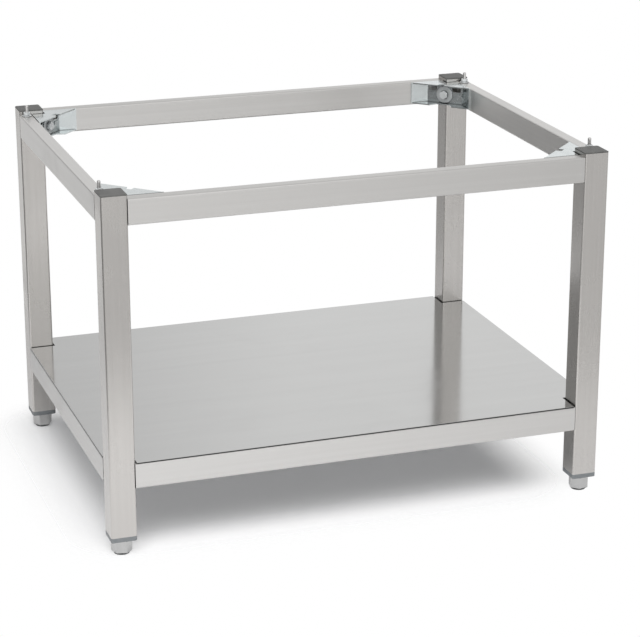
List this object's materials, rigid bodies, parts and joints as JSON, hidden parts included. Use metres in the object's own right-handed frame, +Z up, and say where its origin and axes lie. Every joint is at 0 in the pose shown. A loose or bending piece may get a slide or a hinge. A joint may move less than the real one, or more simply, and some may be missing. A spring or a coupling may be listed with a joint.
{
  "type": "grill stand",
  "caption": "Open stainless-steel stand for a countertop grill, with tube legs, a bolted top frame with locating pins, a lower shelf and screw-adjustable feet.",
  "frame": {"origin": "centre of the footprint, on the floor under the feet", "axes": "+X to the right along the long side seen from the front, +Y to the back, +Z up"},
  "size_m": [0.8, 0.6, 0.575],
  "materials": {
    "stainless_tube": "brushed along the tube, satin",
    "stainless_sheet": "brushed sheet, softly reflective",
    "zinc_plate": "bright zinc-plated pressed plate",
    "zinc_fastener": "bright zinc-plated",
    "pin_steel": "turned, bright",
    "foot_steel": "drawn bar, satin",
    "cap_plastic": "dark grey moulded plastic, finely textured",
    "insert_plastic": "grey moulded plastic",
    "pad_plastic": "grey moulded plastic"
  },
  "bodies": {
    "frame": {"foot_bush_back_left": "zinc_fastener", "foot_bush_back_right": "zinc_fastener", "foot_bush_front_left": "zinc_fastener", "foot_bush_front_right": "zinc_fastener", "foot_insert_back_left": "insert_plastic", "foot_insert_back_right": "insert_plastic", "foot_insert_front_left": "insert_plastic", "foot_insert_front_right": "insert_plastic", "leg_back_left": "stainless_tube", "leg_back_right": "stainless_tube", "leg_cap_back_left": "cap_plastic", "leg_cap_back_right": "cap_plastic", "leg_cap_front_left": "cap_plastic", "leg_cap_front_right": "cap_plastic", "leg_front_left": "stainless_tube", "leg_front_right": "stainless_tube", "locating_pin_back_left": "pin_steel", "locating_pin_back_right": "pin_steel", "locating_pin_front_left": "pin_steel", "locating_pin_front_right": "pin_steel", "lower_bracket_back_left": "zinc_plate", "lower_bracket_back_right": "zinc_plate", "lower_bracket_front_left": "zinc_plate", "lower_bracket_front_right": "zinc_plate", "lower_clamp_bolts": "zinc_fastener", "lower_clamp_washers": "zinc_fastener", "lower_corner_nuts": "zinc_fastener", "lower_rail_back": "stainless_tube", "lower_rail_front": "stainless_tube", "lower_rail_left": "stainless_tube", "lower_rail_right": "stainless_tube", "pin_inner_nuts": "zinc_fastener", "pin_lock_nuts": "zinc_fastener", "pin_washers": "zinc_fastener", "shelf_panel": "stainless_sheet", "shelf_stiffener": "stainless_sheet", "top_bracket_back_left": "zinc_plate", "top_bracket_back_right": "zinc_plate", "top_bracket_front_left": "zinc_plate", "top_bracket_front_right": "zinc_plate", "top_clamp_bolts": "zinc_fastener", "top_clamp_washers": "zinc_fastener", "top_corner_nuts": "zinc_fastener", "top_rail_back": "stainless_tube", "top_rail_front": "stainless_tube", "top_rail_left": "stainless_tube", "top_rail_right": "stainless_tube"},
    "pad_front_left": {"foot_pad_front_left": "pad_plastic"},
    "foot_front_left": {"foot_body_front_left": "foot_steel", "foot_stud_front_left": "foot_steel"},
    "pad_front_right": {"foot_pad_front_right": "pad_plastic"},
    "foot_front_right": {"foot_body_front_right": "foot_steel", "foot_stud_front_right": "foot_steel"},
    "pad_back_right": {"foot_pad_back_right": "pad_plastic"},
    "foot_back_right": {"foot_body_back_right": "foot_steel", "foot_stud_back_right": "foot_steel"},
    "pad_back_left": {"foot_pad_back_left": "pad_plastic"},
    "foot_back_left": {"foot_body_back_left": "foot_steel", "foot_stud_back_left": "foot_steel"}
  },
  "joints": [
    {"name": "level_front_left", "type": "slide", "parent": "frame", "child": "pad_front_left", "axis": [0, 0, -1], "range_m": [0, 0.02]},
    {"name": "turn_front_left", "type": "hinge", "parent": "pad_front_left", "child": "foot_front_left", "pos_m": [-0.38, -0.28, 0.016], "axis": [0, 0, -1], "range_deg": [0, 4800]},
    {"name": "level_front_right", "type": "slide", "parent": "frame", "child": "pad_front_right", "axis": [0, 0, -1], "range_m": [0, 0.02]},
    {"name": "turn_front_right", "type": "hinge", "parent": "pad_front_right", "child": "foot_front_right", "pos_m": [0.38, -0.28, 0.016], "axis": [0, 0, -1], "range_deg": [0, 4800]},
    {"name": "level_back_right", "type": "slide", "parent": "frame", "child": "pad_back_right", "axis": [0, 0, -1], "range_m": [0, 0.02]},
    {"name": "turn_back_right", "type": "hinge", "parent": "pad_back_right", "child": "foot_back_right", "pos_m": [0.38, 0.28, 0.016], "axis": [0, 0, -1], "range_deg": [0, 4800]},
    {"name": "level_back_left", "type": "slide", "parent": "frame", "child": "pad_back_left", "axis": [0, 0, -1], "range_m": [0, 0.02]},
    {"name": "turn_back_left", "type": "hinge", "parent": "pad_back_left", "child": "foot_back_left", "pos_m": [-0.38, 0.28, 0.016], "axis": [0, 0, -1], "range_deg": [0, 4800]}
  ],
  "couplings": [
    {"joint": "turn_front_left", "follows": "level_front_left", "rad_per_m": 4188.8},
    {"joint": "turn_front_right", "follows": "level_front_right", "rad_per_m": 4188.8},
    {"joint": "turn_back_right", "follows": "level_back_right", "rad_per_m": 4188.8},
    {"joint": "turn_back_left", "follows": "level_back_left", "rad_per_m": 4188.8}
  ]
}
